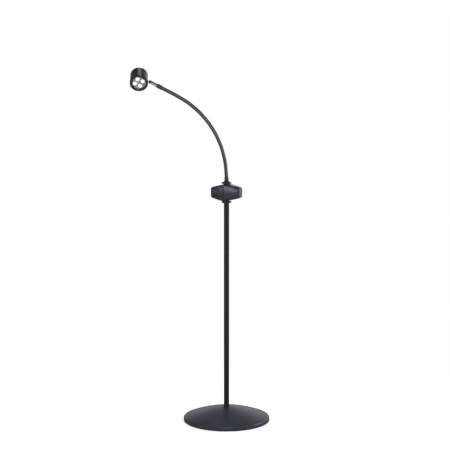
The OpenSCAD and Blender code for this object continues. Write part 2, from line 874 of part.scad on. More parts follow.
module swivel_clip() {
  groove_z = stem_start - ferrule_web - swivel_gap - clip_t;
  color("#77797d") at_ball() translate([0, 0, groove_z]) difference() {
    tube(clip_r, spigot_d/2 - 1 + running, clip_t);
    translate([-1.5, 0, -1]) cube([3, 2*clip_r, clip_t + 2]);
  }
}

module ball_socket() {
  color("#151618") at_ball() difference() {
    translate([0, 0, socket_z]) turned(ring_profile(0, stem_d/2, socket_l, 0, 0.8));
    translate([0, 0, socket_z - 1]) cylinder(r = seat_r + running, h = lip_z - socket_z + 1);
    cylinder(r = lip_hole_r, h = socket_l);
  }
}

module ball_seat() {
  color("#e2e2dc") at_ball() difference() {
    translate([0, 0, socket_z]) cylinder(r = seat_r, h = lip_z - socket_z - running);
    sphere(ball_r + running);
    translate([0, 0, socket_z - 1]) cylinder(r = 1.5, h = -socket_z);
  }
}

module ball_stud() {
  thread_end = stud_reach - stud_pad_in + nut_t + 1;
  color("#c9ccd0") at_stud() {
    sphere(ball_r);
    cylinder(d = ball_neck_d, h = ball_gap + 1);
    translate([0, 0, ball_gap - shoulder_t]) cylinder(d = shoulder_d, h = shoulder_t + shoulder_seat);
    translate([0, 0, ball_gap]) cylinder(d = stud_thread_d, h = thread_end - ball_gap);
  }
}

module stud_nut() {
  color("#9b9ea2") at_stud() translate([0, 0, stud_reach - stud_pad_in]) difference() {
    hexagon(nut_w, nut_t);
    translate([0, 0, -1]) cylinder(r = stud_thread_d/2 + running, h = nut_t + 2);
  }
}

// Head, drawn from its front face backwards

// Along the stud, from the head's axis outwards
module at_stud_hole() {
  translate([0, 0, stud_z]) rotate([0, -90, 0]) children();
}

module head_barrel() {
  color("#2c2c2d") at_head() difference() {
    union() {
      translate([0, 0, bezel_l]) tube(barrel_r, barrel_in_r, cap_z - bezel_l);
      intersection() {
        translate([0, 0, bezel_l]) cylinder(r = barrel_r - barrel_wall/2, h = cap_z - bezel_l);
        at_stud_hole() translate([0, 0, stud_pad_in]) cylinder(d = stud_pad_d, h = barrel_r);
      }
    }
    at_stud_hole() cylinder(r = stud_thread_d/2 + fit, h = 2*barrel_r);
    at_stud_hole() translate([0, 0, barrel_r - shoulder_seat])
      cylinder(r = shoulder_d/2 + fit, h = barrel_r);
  }
}

module bezel() {
  spigot_r = barrel_in_r - running;
  color("#1a1a1b") at_head() turned(concat(
    [[glass_clear_d/2, bezel_lip]],
    arc([glass_clear_d/2 + 0.8, 0.8], 0.8, 180, 270, 4),
    arc([bezel_d/2 - bezel_round, bezel_round], bezel_round, -90, 0),
    [[bezel_d/2, bezel_l - 0.8], [bezel_d/2 - 0.8, bezel_l], [spigot_r, bezel_l],
     [spigot_r, bezel_l + bezel_spigot_l], [glass_r + fit, bezel_l + bezel_spigot_l],
     [glass_r + fit, bezel_lip]]));
}

module front_glass() {
  color("#dfe9ee", 0.35) at_head() translate([0, 0, glass_z]) cylinder(r = glass_r, h = glass_t);
}

module glass_seal() {
  color("#101011") at_head() translate([0, 0, seal_z]) tube(glass_r, glass_r - seal_w, seal_t);
}

module lens_plate() {
  color("#c9c9c6") at_head() translate([0, 0, lens_plate_z]) difference() {
    cylinder(r = glass_r, h = lens_plate_t);
    at_emitters() translate([0, 0, -1]) cylinder(r = lens_d/2 + fit, h = lens_plate_t + 2);
  }
}

module lenses() {
  rim = 2;
  pocket_h = emitter_h + 1;
  color("#f4f6f2", 0.6) at_head() at_emitters() difference() {
    union() {
      translate([0, 0, lens_z]) cylinder(d = lens_d, h = rim);
      translate([0, 0, lens_z + rim - eps])
        cylinder(d1 = lens_d - 1, d2 = lens_foot_d, h = lens_l - rim + eps);
    }
    translate([0, 0, emitter_board_z - pocket_h]) cylinder(d = emitter_w*1.42 + 0.6, h = pocket_h + 1);
  }
}

module emitter_board() {
  color("#e9e9e4") at_head() translate([0, 0, emitter_board_z]) cylinder(r = sink_r, h = board_t);
}

module emitters() {
  color("#f6efb8") at_head() at_emitters() translate([0, 0, emitter_board_z - emitter_h])
    block(emitter_w, emitter_w, emitter_h);
}

module heat_sink() {
  fin_h = cap_inner_z - 2 - sink_z - sink_plate_t;
  pitch = 2*(sink_r - 3)/fin_n;
  color("#b4b7ba") at_head() difference() {
    translate([0, 0, sink_z]) {
      cylinder(r = sink_r, h = sink_plate_t);
      intersection() {
        cylinder(r = sink_r - 2, h = sink_plate_t + fin_h);
        for (i = [0:fin_n - 1]) translate([0, (i - (fin_n - 1)/2)*pitch, 0])
          block(2*sink_r, fin_t, sink_plate_t + fin_h);
      }
      at_posts() cylinder(d = post_d, h = cap_inner_z - sink_z);
    }
    at_stud_hole() translate([0, 0, stud_pad_in - nut_t - 3])
      cylinder(r = stud_pad_d/2 + 1, h = barrel_r);
    at_posts() translate([0, 0, cap_inner_z - 10]) cylinder(r = cap_screw_d/2 + running, h = 12);
  }
}

module at_posts() {
  for (i = [0:2]) rotate([0, 0, i*120]) translate([post_r, 0, 0]) children();
}

module rear_cap() {
  color("#2a2a2b") at_head() difference() {
    union() {
      translate([0, 0, cap_z]) turned(ring_profile(0, barrel_r, cap_t, 0, cap_round));
      translate([0, 0, cap_inner_z]) cylinder(r = barrel_in_r - running, h = cap_spigot_l + 1);
    }
    at_posts() {
      translate([0, 0, cap_inner_z - 1]) cylinder(r = cap_screw_d/2 + fit, h = head_l);
      translate([0, 0, head_l - 2.5]) cylinder(r = cap_screw_d + fit, h = 5);
    }
  }
}

module rear_cap_screws() {
  color("#5d6064") at_head() at_posts() {
    translate([0, 0, head_l - 2.5]) cylinder(r = cap_screw_d, h = 1.8);
    translate([0, 0, cap_inner_z - 8]) cylinder(d = cap_screw_d, h = head_l - 2 - cap_inner_z + 8);
  }
}

base_pad();
base_weight();
base_cover();
base_bolt();
base_washer();
pole_plug();
foot_ring();
pole();
lower_collar();
collar_grub_screw();
hub();
shell_left();
shell_right();
shell_screws();
power_board();
transformer();
capacitors();
switch_frame();
rocker();
power_inlet();
inlet_pins();
upper_collar();
neck_ferrule();
neck_foot();
for (k = [0:link_n - 1]) neck_link(k);
end_ferrule();
stem();
swivel_clip();
ball_socket();
ball_seat();
ball_stud();
stud_nut();
head_barrel();
bezel();
front_glass();
glass_seal();
lens_plate();
lenses();
emitter_board();
emitters();
heat_sink();
rear_cap();
rear_cap_screws();
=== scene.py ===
import json
from math import asin, atan, cos, hypot, pi, radians, sin, sqrt, tan

import bmesh
import bpy
from mathutils import Matrix, Vector


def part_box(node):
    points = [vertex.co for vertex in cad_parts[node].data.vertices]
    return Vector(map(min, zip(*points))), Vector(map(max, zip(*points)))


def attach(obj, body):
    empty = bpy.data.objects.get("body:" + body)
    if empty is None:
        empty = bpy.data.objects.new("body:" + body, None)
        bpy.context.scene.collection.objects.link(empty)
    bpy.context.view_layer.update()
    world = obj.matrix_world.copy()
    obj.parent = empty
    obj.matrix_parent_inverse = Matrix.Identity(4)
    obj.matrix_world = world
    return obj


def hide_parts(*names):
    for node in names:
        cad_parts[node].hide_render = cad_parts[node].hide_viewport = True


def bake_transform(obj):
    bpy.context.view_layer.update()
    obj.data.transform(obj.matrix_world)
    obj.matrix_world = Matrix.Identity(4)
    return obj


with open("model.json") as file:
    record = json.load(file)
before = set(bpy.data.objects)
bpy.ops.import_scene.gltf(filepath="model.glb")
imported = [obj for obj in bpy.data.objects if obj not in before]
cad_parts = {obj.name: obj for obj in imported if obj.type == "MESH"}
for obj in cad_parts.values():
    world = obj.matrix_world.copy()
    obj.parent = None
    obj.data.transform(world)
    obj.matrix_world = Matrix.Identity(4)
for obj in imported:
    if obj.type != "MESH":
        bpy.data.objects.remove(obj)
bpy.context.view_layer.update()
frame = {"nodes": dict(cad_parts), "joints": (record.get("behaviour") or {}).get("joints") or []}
JOINTS = {joint["name"]: joint for joint in frame["joints"]}
MM = 0.001


# Camera

CAMERA_TURN = radians(17)
CAMERA_DIP = radians(5.16)
CAMERA_AWAY = 4.5
CAMERA_HEIGHT = 1.2311
CAMERA_SHIFT = -0.0064
LENS = 87.15
SENSOR = 36
SIGHT = 200


def photo_camera():
    """Stands 4.5 m from the pole, 17 degrees to the front's right, and looks a little down."""
    right = Vector((cos(CAMERA_TURN), sin(CAMERA_TURN), 0))
    towards = Vector((sin(CAMERA_TURN), -cos(CAMERA_TURN), 0))
    data = bpy.data.cameras.new("photo_camera")
    data.sensor_width = SENSOR
    data.lens = LENS
    data.clip_end = SIGHT
    camera = bpy.data.objects.new("photo_camera", data)
    camera.location = CAMERA_AWAY*towards + CAMERA_SHIFT*right + Vector((0, 0, CAMERA_HEIGHT))
    camera.rotation_euler = (pi/2 - CAMERA_DIP, 0, CAMERA_TURN)
    bpy.context.scene.collection.objects.link(camera)
    bpy.context.scene.camera = camera


photo_camera()


# Shader trees

class Value:
    """A shader socket. Arithmetic on it adds Math nodes."""

    def __init__(self, tree, socket):
        self.tree = tree
        self.socket = socket

    def maths(self, operation, first, second):
        return self.tree.node("ShaderNodeMath", {"operation": operation}, {0: first, 1: second})

    def __add__(self, other):
        return self.maths("ADD", self, other)

    def __sub__(self, other):
        return self.maths("SUBTRACT", self, other)

    def __rsub__(self, other):
        return self.maths("SUBTRACT", other, self)

    def __mul__(self, other):
        return self.maths("MULTIPLY", self, other)


class Tree:
    """The nodes of one material or of the world."""

    def __init__(self, owner):
        owner.use_nodes = True
        self.owner = owner
        self.nodes = owner.node_tree.nodes
        self.links = owner.node_tree.links
        self.nodes.clear()

    def node(self, kind, settings=None, inputs=None, output=0):
        node = self.nodes.new(kind)
        for name, setting in (settings or {}).items():
            setattr(node, name, setting)
        for name, value in (inputs or {}).items():
            if isinstance(value, Value):
                self.links.new(value.socket, node.inputs[name])
            else:
                node.inputs[name].default_value = value
        return Value(self, node.outputs[output]) if node.outputs else None

    def place(self):
        return self.node("ShaderNodeTexCoord", output="Object")

    def noise(self, scale, detail):
        return self.node("ShaderNodeTexNoise", {},
                         {"Vector": self.place(), "Scale": scale, "Detail": detail})

    def blend(self, share, first, second):
        return self.node("ShaderNodeMix", {"data_type": "RGBA", "clamp_factor": True},
                         {0: share, 6: first, 7: second}, 2)

    def along(self, vector, way):
        return self.node("ShaderNodeVectorMath", {"operation": "DOT_PRODUCT"},
                         {0: vector, 1: way}, "Value")

    def between(self, value, start, end):
        """0 at start and before it, 1 at end and beyond, smooth in between."""
        return self.node("ShaderNodeMapRange", {"interpolation_type": "SMOOTHSTEP"},
                         {"Value": value, "From Min": start, "From Max": end})

    def paths(self):
        node = self.nodes.new("ShaderNodeLightPath")
        return {socket.name: Value(self, socket) for socket in node.outputs}

    def relief(self, height, depth, strength=1.0):
        return self.node("ShaderNodeBump", {},
                         {"Height": height, "Distance": depth, "Strength": strength})

    def surface(self, shader, kind="ShaderNodeOutputMaterial"):
        self.node(kind, {}, {"Surface": shader})
        return self.owner


def scaled(colour, factor):
    return (colour[0]*factor, colour[1]*factor, colour[2]*factor, 1)


def drifting(name, colour, roughness, cloud, grain, drift=0.16, gloss_drift=0.06, depth=0.00004,
             **constants):
    """A finish whose colour and gloss drift softly over the piece, under a fine grain."""
    tree = Tree(bpy.data.materials.new(name))
    soft = tree.noise(cloud, 4.0)
    fine = tree.noise(grain, 2.0)
    shader = tree.node("ShaderNodeBsdfPrincipled", {}, {
        "Base Color": tree.blend(soft*0.6 + fine*0.4,
                                 scaled(colour, 1 - drift), scaled(colour, 1 + drift)),
        "Roughness": (soft - 0.5)*(2*gloss_drift) + roughness,
        "Normal": tree.relief(fine, depth),
        **constants})
    return tree.surface(shader)


# Finishes

COAT_SHINE = (0.84, 0.91, 1.0, 1)
COOL_SHINE = (0.82, 0.90, 1.0, 1)
WINDING_PITCH = 0.0026


def base_coat():
    return drifting("base_coat", (0.022, 0.027, 0.039), 0.40, cloud=9, grain=1100, depth=0.00010,
                    **{"Specular Tint": COAT_SHINE})


def pole_coat():
    return drifting("pole_coat", (0.0090, 0.0090, 0.0130), 0.5, cloud=7, grain=1300, depth=0.00008,
                    **{"Specular IOR Level": 0.25})


def collar_coat():
    return drifting("collar_coat", (0.012, 0.012, 0.014), 0.34, cloud=40, grain=1500)


def ferrule_coat():
    return drifting("ferrule_coat", (0.014, 0.015, 0.018), 0.32, cloud=50, grain=1700)


def housing_plastic():
    """Moulded plastic with a spark-eroded grain."""
    tree = Tree(bpy.data.materials.new("housing_plastic"))
    soft = tree.noise(16, 4.0)
    pits = tree.node("ShaderNodeTexVoronoi", {"feature": "SMOOTH_F1"},
                     {"Vector": tree.place(), "Scale": 1500.0, "Smoothness": 0.6})
    shader = tree.node("ShaderNodeBsdfPrincipled", {}, {
        "Base Color": tree.blend(soft*0.7 + pits*0.5,
                                 (0.009, 0.011, 0.018, 1), (0.014, 0.017, 0.026, 1)),
        "Roughness": (soft - 0.5)*0.10 + pits*0.08 + 0.31,
        "Specular Tint": COOL_SHINE,
        "Normal": tree.relief(pits, 0.00006, 0.7)})
    return tree.surface(shader)


def switch_plastic():
    return drifting("switch_plastic", (0.010, 0.010, 0.012), 0.42, cloud=60, grain=2600,
                    depth=0.00003)


def inlet_plastic():
    return drifting("inlet_plastic", (0.011, 0.011, 0.012), 0.5, cloud=60, grain=2200)


def neck_sleeve():
    """Sleeve shrunk over a wound core, whose turns show as faint rings."""
    tree = Tree(bpy.data.materials.new("neck_sleeve"))
    along = tree.node("ShaderNodeAttribute", {"attribute_name": "along"}, output="Fac")
    rings = tree.node("ShaderNodeMath", {"operation": "SINE"}, {0: along*(2*pi/WINDING_PITCH)})
    soft = tree.noise(35, 3.0)
    fine = tree.noise(1800, 2.0)
    shader = tree.node("ShaderNodeBsdfPrincipled", {}, {
        "Base Color": tree.blend(soft*0.6 + fine*0.4,
                                 (0.009, 0.011, 0.016, 1), (0.014, 0.017, 0.024, 1)),
        "Roughness": (soft - 0.5)*0.12 + 0.34,
        "Specular IOR Level": 0.9,
        "Specular Tint": COOL_SHINE,
        "Normal": tree.relief(rings*0.5 + fine*0.3, 0.00003, 0.8)})
    return tree.surface(shader)


def bright_chrome():
    """Plated and polished, with faint smears."""
    tree = Tree(bpy.data.materials.new("bright_chrome"))
    smear = tree.noise(120, 4.0)
    fine = tree.noise(2400, 2.0)
    shader = tree.node("ShaderNodeBsdfPrincipled", {}, {
        "Base Color": tree.blend(smear, (0.56, 0.57, 0.58, 1), (0.66, 0.67, 0.68, 1)),
        "Metallic": 1.0,
        "Roughness": smear*0.10 + fine*0.03 + 0.04,
        "Normal": tree.relief(fine, 0.000004, 0.4)})
    return tree.surface(shader)


def socket_black():
    return drifting("socket_black", (0.009, 0.009, 0.010), 0.34, cloud=80, grain=2000)


def black_anodised():
    return drifting("black_anodised", (0.012, 0.012, 0.012), 0.36, cloud=26, grain=2200,
                    gloss_drift=0.05, depth=0.00002)


def front_glass():
    tree = Tree(bpy.data.materials.new("front_glass"))
    dust = tree.noise(90, 4.0)
    shader = tree.node("ShaderNodeBsdfPrincipled", {}, {
        "Base Color": tree.blend(dust, (0.97, 0.99, 0.99, 1), (1.0, 1.0, 1.0, 1)),
        "Roughness": dust*0.03 + 0.01,
        "Transmission Weight": 1.0,
        "IOR": 1.46})
    return tree.surface(shader)


def lens_acrylic():
    """Lit lenses, white in the middle and dimmer at the edge."""
    tree = Tree(bpy.data.materials.new("lens_acrylic"))
    glow = tree.noise(420, 3.0)
    middle = tree.node("ShaderNodeAttribute", {"attribute_name": "middle"}, output="Fac")
    core = tree.between(middle + glow*0.1, 0.14, 0.64)
    shader = tree.node("ShaderNodeBsdfPrincipled", {}, {
        "Base Color": tree.blend(core, (0.40, 0.39, 0.36, 1), (0.92, 0.93, 0.94, 1)),
        "Roughness": glow*0.08 + 0.08,
        "Emission Color": tree.blend(core, (0.06, 0.055, 0.045, 1), (1.0, 0.98, 0.93, 1)),
        "Emission Strength": 1.4})
    return tree.surface(shader)


def lens_holder():
    return drifting("lens_holder", (0.34, 0.335, 0.315), 0.30, cloud=60, grain=1600, drift=0.08)


def emitter_phosphor():
    return drifting("emitter_phosphor", (0.80, 0.68, 0.22), 0.5, cloud=300, grain=4000, drift=0.08)


def emitter_board():
    return drifting("emitter_board", (0.70, 0.70, 0.66), 0.4, cloud=80, grain=2500, drift=0.05)


def heat_sink_alloy():
    return drifting("heat_sink_alloy", (0.62, 0.63, 0.64), 0.38, cloud=50, grain=1800, drift=0.05,
                    Metallic=1.0)


def hub_alloy():
    return drifting("hub_alloy", (0.55, 0.56, 0.57), 0.42, cloud=50, grain=1400, drift=0.06,
                    Metallic=1.0)


def steel_hardware():
    return drifting("steel_hardware", (0.42, 0.43, 0.44), 0.3, cloud=150, grain=3000, drift=0.1,
                    Metallic=1.0)


def cast_weight():
    return drifting("cast_weight", (0.10, 0.10, 0.105), 0.75, cloud=30, grain=500, drift=0.2,
                    depth=0.0004)


def pad_rubber():
    return drifting("pad_rubber", (0.012, 0.012, 0.012), 0.85, cloud=20, grain=900, drift=0.2,
                    depth=0.00015)


def seal_rubber():
    return drifting("seal_rubber", (0.010, 0.010, 0.010), 0.7, cloud=80, grain=2000, drift=0.15)


def seat_nylon():
    return drifting("seat_nylon", (0.72, 0.71, 0.66), 0.45, cloud=120, grain=2500, drift=0.06)


def board_laminate():
    """Solder resist with copper tracks under it."""
    tree = Tree(bpy.data.materials.new("board_laminate"))
    weave = tree.noise(900, 2.0)
    tracks = tree.node("ShaderNodeTexBrick", {"offset": 0.5},
                       {"Vector": tree.place(), "Scale": 110.0, "Mortar Size": 0.03}, "Fac")
    shader = tree.node("ShaderNodeBsdfPrincipled", {}, {
        "Base Color": tree.blend(tracks*0.6 + weave*0.3,
                                 (0.010, 0.085, 0.030, 1), (0.030, 0.17, 0.070, 1)),
        "Roughness": weave*0.1 + 0.3,
        "Normal": tree.relief(tracks, 0.00003)})
    return tree.surface(shader)


def transformer_tape():
    return drifting("transformer_tape", (0.52, 0.36, 0.05), 0.35, cloud=90, grain=1500, drift=0.1)


def capacitor_sleeve():
    return drifting("capacitor_sleeve", (0.014, 0.018, 0.03), 0.3, cloud=120, grain=2000)


# Shapes

SAME_SPOT = 1e-6
CUT_SPOT = 0.02*MM


def lathe(outline, steps, segments=4, bow_steps=18):
    """Spins an outline about Z. A point is (radius, height, rounding, bow) in millimetres: its edge
    is rounded by the third number, and the way to it from the point before bows by the fourth."""
    outline = [tuple(point) + (0, 0)[len(point) - 2:] for point in outline]
    bm = bmesh.new()
    first = last = bm.verts.new((outline[0][0]*MM, 0, outline[0][1]*MM))
    for radius, height, _, bow in outline[1:]:
        target = Vector((radius*MM, 0, height*MM))
        if bow:
            way = target - last.co
            half = way.length/2
            size = (half*half + (bow*MM)**2)/(2*bow*MM)
            side = Vector((way.z, 0, -way.x)).normalized()
            swing = bmesh.ops.spin(bm, geom=[last], cent=last.co + way/2 + side*(bow*MM - size),
                                   axis=(0, -1, 0), angle=2*asin(half/size), steps=bow_steps)
            last = next(item for item in swing["geom_last"] if isinstance(item, bmesh.types.BMVert))
        else:
            fresh = bm.verts.new(target)
            bm.edges.new((last, fresh))
            last = fresh
    if min(point[0] for point in outline) > 0:
        bm.edges.new((last, first))
    bmesh.ops.spin(bm, geom=bm.verts[:] + bm.edges[:], cent=(0, 0, 0), axis=(0, 0, 1), angle=2*pi,
                   steps=steps, use_merge=True)
    tidy(bm)
    for radius, height, rounding, _ in outline:
        if rounding:
            ring = [edge for edge in bm.edges
                    if all(on_ring(vert.co, radius*MM, height*MM) for vert in edge.verts)]
            soften(bm, ring, rounding, segments)
    return bm


def on_ring(point, radius, height):
    off = abs(hypot(point.x, point.y) - radius), abs(point.z - height)
    return max(off) < 2*SAME_SPOT


def tidy(bm, distance=SAME_SPOT):
    bmesh.ops.remove_doubles(bm, verts=bm.verts, dist=distance)
    bmesh.ops.recalc_face_normals(bm, faces=bm.faces)


def soften(bm, edges, rounding, segments=3):
    bmesh.ops.bevel(bm, geom=edges, offset=rounding*MM, offset_type="OFFSET", segments=segments,
                    profile=0.5, affect="EDGES", material=-1, clamp_overlap=True)


def corners(bm, over):
    """The edges whose faces turn by more than that many degrees."""
    return [edge for edge in bm.edges
            if len(edge.link_faces) == 2 and edge.calc_face_angle() > radians(over)]


def moved(bm, matrix):
    bmesh.ops.transform(bm, matrix=matrix, verts=bm.verts)
    return bm


def joined(*parts):
    """One mesh of several."""
    whole = bmesh.new()
    for part in parts:
        held = bpy.data.meshes.new("held")
        part.to_mesh(held)
        part.free()
        whole.from_mesh(held)
        bpy.data.meshes.remove(held)
    return whole


def piece(name, bm, finish, body=None, nodes=(), crease=38, broken=0):
    """Makes the mesh a finished piece that rides on a body and stands for these nodes. Its sharp
    edges may be broken by that many millimetres."""
    for face in bm.faces:
        face.smooth = True
    for edge in bm.edges:
        edge.smooth = len(edge.link_faces) == 2 and edge.calc_face_angle() < radians(crease)
    mesh = bpy.data.meshes.new(name)
    bm.to_mesh(mesh)
    bm.free()
    mesh.materials.append(finish)
    made = bpy.data.objects.new(name, mesh)
    bpy.context.scene.collection.objects.link(made)
    if broken:
        bevel = made.modifiers.new("broken_edges", "BEVEL")
        bevel.width = broken*MM
        bevel.segments = 2
        bevel.limit_method = "ANGLE"
        bevel.angle_limit = radians(crease)
    weighted = made.modifiers.new("even_normals", "WEIGHTED_NORMAL")
    weighted.keep_sharp = True
    if body:
        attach(made, body)
    if nodes:
        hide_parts(*nodes)
    return made


def dress(finish, *nodes):
    for node in nodes:
        slots = frame["nodes"][node].data.materials
        slots.clear()
        slots.append(finish)


def axes(origin, x, y, z):
    """The place of something at the origin whose own axes point along x, y and z."""
    matrix = Matrix((x, y, z)).transposed().to_4x4()
    matrix.translation = origin
    return matrix


# Places, as in the part's source, with lengths in millimetres and angles in degrees

UP = Vector((0, 0, 1))
STUD_LEAN = 16.5
STUD_TO_FACE = 44
BALL_TO_AXIS = 46
PANEL_TO_PIVOT = 4
ROCKER_REST = 11
BALL = Vector(JOINTS["head_tilt"]["pos_m"])
STEM_WAY = Vector(JOINTS["stem_swivel"]["axis"]).normalized()
TILT_AXIS = Vector(JOINTS["head_tilt"]["axis"]).normalized()
STEM_PLACE = axes(BALL, TILT_AXIS.cross(STEM_WAY), TILT_AXIS, STEM_WAY)
STUD_PLACE = STEM_PLACE @ Matrix.Rotation(radians(STUD_LEAN), 4, "Y")
FACE_PLACE = STUD_PLACE @ Matrix.Translation((STUD_TO_FACE*MM, 0, BALL_TO_AXIS*MM))
HEAD_PLACE = FACE_PLACE @ Matrix.Rotation(radians(-90), 4, "Y")
ROCKER = JOINTS["rocker_press"]
ROCKER_AXIS = Vector(ROCKER["axis"]).normalized()
PIVOT_PLACE = axes(Vector(ROCKER["pos_m"]), ROCKER_AXIS, UP.cross(ROCKER_AXIS), UP)
SWITCH_PLACE = PIVOT_PLACE @ Matrix.Translation((0, -PANEL_TO_PIVOT*MM, 0))


# Base and pole

BASE_RADIUS = 180
RIM_TOP = 17
INNER_RIM_TOP = 12.5
DOME_TOP = 60
DOME_BOW = 5
COVER_WALL = 2.5
PAD_RADIUS = 177
PAD_TOP = 2
PAD_GROOVES = (60, 100, 140, 160)
GROOVE_WIDTH = 4
GROOVE_DEPTH = 0.6
GROOVE_SLOPE = 0.4
POLE_RADIUS = 11
POLE_BORE = 9.5
POLE_ENDS = (20, 940)
POLE_HOLE = 11.1
FOOT_RING_RADIUS = 12.5
FOOT_RING_TOP = 67


def base_cover(finish):
    inside = BASE_RADIUS - COVER_WALL
    outline = [(BASE_RADIUS, PAD_TOP, 0.5), (BASE_RADIUS, RIM_TOP, 4),
               (POLE_HOLE, DOME_TOP, 0, DOME_BOW), (POLE_HOLE, DOME_TOP - COVER_WALL),
               (inside, INNER_RIM_TOP, 0, -DOME_BOW), (inside, PAD_TOP)]
    piece("base_cover_dome", lathe(outline, 160), finish, "stand", ["base_cover"])


def base_pad(finish):
    outline = [(0, 0)]
    for start in PAD_GROOVES:
        end = start + GROOVE_WIDTH
        outline += [(start, 0, 0.2), (start + GROOVE_SLOPE, GROOVE_DEPTH),
                    (end - GROOVE_SLOPE, GROOVE_DEPTH), (end, 0, 0.2)]
    outline += [(PAD_RADIUS, 0, 0.6), (PAD_RADIUS, PAD_TOP, 0.3), (0, PAD_TOP)]
    piece("base_pad_grooved", lathe(outline, 128, 2), finish, "stand", ["base_pad"])


def foot_ring(finish):
    outline = [(POLE_HOLE, DOME_TOP), (FOOT_RING_RADIUS, DOME_TOP, 0.2),
               (FOOT_RING_RADIUS, FOOT_RING_TOP, 0.8), (POLE_HOLE, FOOT_RING_TOP)]
    piece("pole_foot_ring", lathe(outline, 72), finish, "stand", ["foot_ring"])


def pole(finish):
    foot, top = POLE_ENDS
    outline = [(POLE_BORE, foot), (POLE_RADIUS, foot, 0.3),
               (POLE_RADIUS, top, 0.3), (POLE_BORE, top)]
    piece("pole_tube", lathe(outline, 72), finish, "stand", ["pole"])


# Housing: X runs from the seam to an end, which is rounded about a ball

SEAM_HALF = (45, 35)
BALL_HALF = (15, 13.5)
BALL_X = 53
END_ROUND = 10
FACE_X = 1.2
SHELL_WALL = 2.5
SEAM_CHAMFER = 1.1
SEAM_EDGE = 0.3
FACE_BOW = 0.8
FACE_CROWN = 2.4
SEAM_ROUND = 8
SEAM_TURN = 24
LEAST_ROUND = 0.6
QUARTER = 24
SIDE_STEPS = 7
HOUSING_Z = 960
FACE_PLACES = [SEAM_CHAMFER, 3, 6, 12, 18, 24, 30, 36, 42, 48, 53, 55]
END_TURNS = (24, 33, 42, 51, 60, 68, 76, 83, 90)
COLLAR_HOLE = 13.15
HOLE_REACH = 50
SWITCH_OPENING = (-10.1, -22, -15.5), (10.1, 7.5, 15.5)
SINK_RADIUS = 2.95
SINK_ENDS = (-64, -45)
SCREW_Y = 18.5
SCREW_Z = 20


def half_size(x, seam, ball, inset):
    """Half the shell's depth or height at x. It narrows from the seam along a slightly bowed line,
    and its end is rounded about the ball's centre."""
    run, drop, rounding = BALL_X - FACE_X, seam - ball, END_ROUND - inset
    lean = atan(drop/run) - asin(END_ROUND/hypot(run, drop))
    turn = BALL_X + rounding*sin(lean)
    if x > turn:
        return ball + sqrt(max(rounding**2 - (x - BALL_X)**2, 0))
    out = max(x - FACE_X, 0)
    share = out/(turn - FACE_X)
    return seam - out*tan(lean) - inset/cos(lean) + FACE_BOW*4*share*(1 - share)


def corner_round(x, inset):
    """The rounding of the shell's long edges at x."""
    if x > BALL_X:
        return max(sqrt(max((END_ROUND - inset)**2 - (x - BALL_X)**2, 0)), LEAST_ROUND)
    return SEAM_ROUND + (END_ROUND - SEAM_ROUND)*x/BALL_X - inset


def section_ring(bm, x, inset):
    """The edges of a shell's cross section, a rectangle with crowned sides and rounded corners."""
    depth, height = (half_size(x, seam, ball, inset) for seam, ball in zip(SEAM_HALF, BALL_HALF))
    rounding = corner_round(x, inset)
    crown = FACE_CROWN*min(1, (BALL_X + END_ROUND - x)/END_ROUND)
    front = (depth - crown/2, crown)
    top = (height, 0)
    ring = bmesh.ops.create_circle(bm, cap_ends=False, segments=4*QUARTER, radius=1)["verts"]
    for step, vert in enumerate(ring):
        quarter, place = divmod(step, QUARTER)
        sides = (front, top) if quarter % 2 == 0 else (top, front)
        spot = Matrix.Rotation(quarter*pi/2, 2) @ quarter_point(place, *sides, rounding)
        vert.co = (x*MM, spot.x*MM, spot.y*MM)
    return list(dict.fromkeys(edge for vert in ring for edge in vert.link_edges))


def quarter_point(place, first, second, rounding):
    """A point on the first quarter of the section: up half of one side, round the corner and along
    half of the next. A side is given as its distance from the middle and its crown."""
    (out, out_crown), (up, up_crown) = first, second
    lean, end_lean = 2*atan(out_crown/up), 2*atan(up_crown/out)
    hub = Vector((out - rounding*cos(lean), up - rounding*cos(end_lean)))
    arc = QUARTER - 2*SIDE_STEPS
    if place < SIDE_STEPS:
        share = (place + 0.5)/SIDE_STEPS
        return Vector((out + out_crown*(1 - share**2), (hub.y + rounding*sin(lean))*share))
    if place < SIDE_STEPS + arc:
        turn = lean + (place - SIDE_STEPS + 0.5)/arc*(pi/2 - lean - end_lean)
        return hub + rounding*Vector((cos(turn), sin(turn)))
    share = 1 - (place - SIDE_STEPS - arc + 0.5)/SIDE_STEPS
    return Vector(((hub.x + rounding*sin(end_lean))*share, up + up_crown*(1 - share**2)))


def shell_skin(bm, sections):
    """One skin of a shell from the seam to its closed end. Gives back its edge at the seam."""
    rings = [section_ring(bm, x, inset) for x, inset in sections]
    for here, there in zip(rings, rings[1:]):
        bmesh.ops.bridge_loops(bm, edges=here + there)
    bmesh.ops.holes_fill(bm, edges=rings[-1], sides=0)
    return rings[0]


def half_housing(hollow=True):
    """The housing's half on the +X side of the seam: a shell open there, or its full form."""
    bm = bmesh.new()
    places = FACE_PLACES + [BALL_X + END_ROUND*sin(radians(turn)) for turn in END_TURNS]
    edge = shell_skin(bm, [(0, SEAM_CHAMFER)] + [(x, 0) for x in places])
    if hollow:
        reach = BALL_X + END_ROUND
        inner = [(x*(reach - SHELL_WALL)/reach, SHELL_WALL) for x in places]
        bmesh.ops.bridge_loops(bm, edges=edge + shell_skin(bm, inner))
        tidy(bm)
        soften(bm, corners(bm, SEAM_TURN), SEAM_EDGE, 2)
    else:
        bmesh.ops.holes_fill(bm, edges=edge, sides=0)
    return settled(bm)


def settled(bm):
    """Lifted to the housing's height, with its faces turned outwards."""
    tidy(bm)
    return moved(bm, Matrix.Translation((0, 0, HOUSING_Z*MM)))


def mirrored(bm):
    moved(bm, Matrix.Diagonal((-1, 1, 1, 1)))
    tidy(bm)
    return bm


